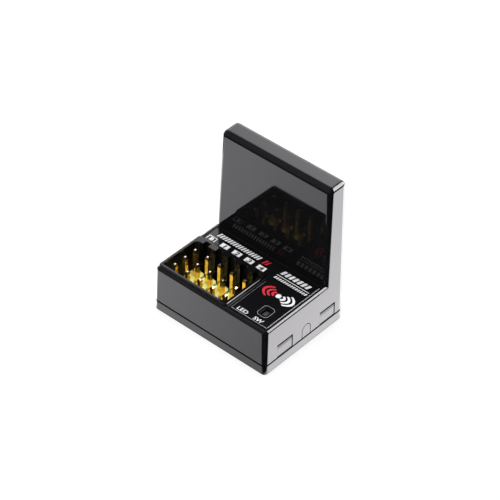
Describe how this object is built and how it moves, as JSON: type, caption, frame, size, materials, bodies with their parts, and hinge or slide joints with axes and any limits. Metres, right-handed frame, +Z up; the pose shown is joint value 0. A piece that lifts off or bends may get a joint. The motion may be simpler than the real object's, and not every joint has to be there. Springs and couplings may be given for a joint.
{
  "type": "rc receiver",
  "caption": "Small black radio control receiver with an upright aerial fin, a keyed well of servo pins, a flat labelled deck and a recessed bind button.",
  "frame": {"origin": "middle of the bounding box's lowest face, on the flat base", "axes": "+X to the right along the front, +Y from the front to the aerial fin, +Z up from the base; metres"},
  "size_m": [0.0252, 0.0202, 0.0301],
  "materials": {
    "casing": "polished black injection moulding",
    "label_film": "printed black film with a smooth face",
    "gilt_contact": "thin gilt plating, smooth",
    "header_nylon": "natural yellowish nylon, satin",
    "board_laminate": "green solder mask over glass-fibre laminate",
    "aerial_copper": "bare copper foil",
    "tinned_contact": "tin plating",
    "black_nylon": "satin moulded nylon",
    "tinned_sheet": "tinned steel sheet",
    "spring_steel": "bright rolled spring steel",
    "switch_housing": "satin moulding",
    "switch_stem": "satin moulding",
    "led_resin": "clear cast resin over a pale base",
    "capacitor_ceramic": "fired ceramic block",
    "chip_resin": "moulded epoxy"
  },
  "bodies": {
    "receiver": {"antenna_board": "board_laminate", "antenna_element_left": "aerial_copper", "antenna_element_right": "aerial_copper", "bottom_cover": "casing", "controller_chip": "chip_resin", "crystal": "tinned_sheet", "front_end_chip": "chip_resin", "header_base_1": "header_nylon", "header_base_2": "header_nylon", "header_base_3": "header_nylon", "header_base_4": "header_nylon", "header_base_b": "header_nylon", "input_capacitor": "capacitor_ceramic", "link_header_base": "black_nylon", "link_pin_1": "tinned_contact", "link_pin_2": "tinned_contact", "link_pin_3": "tinned_contact", "link_pin_4": "tinned_contact", "main_board": "board_laminate", "output_capacitor": "capacitor_ceramic", "pin_1_negative": "gilt_contact", "pin_1_positive": "gilt_contact", "pin_1_signal": "gilt_contact", "pin_2_negative": "gilt_contact", "pin_2_positive": "gilt_contact", "pin_2_signal": "gilt_contact", "pin_3_negative": "gilt_contact", "pin_3_positive": "gilt_contact", "pin_3_signal": "gilt_contact", "pin_4_negative": "gilt_contact", "pin_4_positive": "gilt_contact", "pin_4_signal": "gilt_contact", "pin_b_negative": "gilt_contact", "pin_b_positive": "gilt_contact", "pin_b_signal": "gilt_contact", "radio_chip": "chip_resin", "shield_can": "tinned_sheet", "status_led": "led_resin", "switch_body": "switch_housing", "switch_dome": "spring_steel", "switch_frame": "tinned_sheet", "top_label": "label_film", "upper_case": "casing", "voltage_regulator": "chip_resin"},
    "bind_button": {"switch_plunger": "switch_stem"}
  },
  "joints": [
    {"name": "bind_button_press", "type": "slide", "parent": "receiver", "child": "bind_button", "axis": [0, 0, -1], "range_m": [0, 0.00025], "stiffness_N_per_m": 6400, "deforming": ["switch_dome"]}
  ]
}
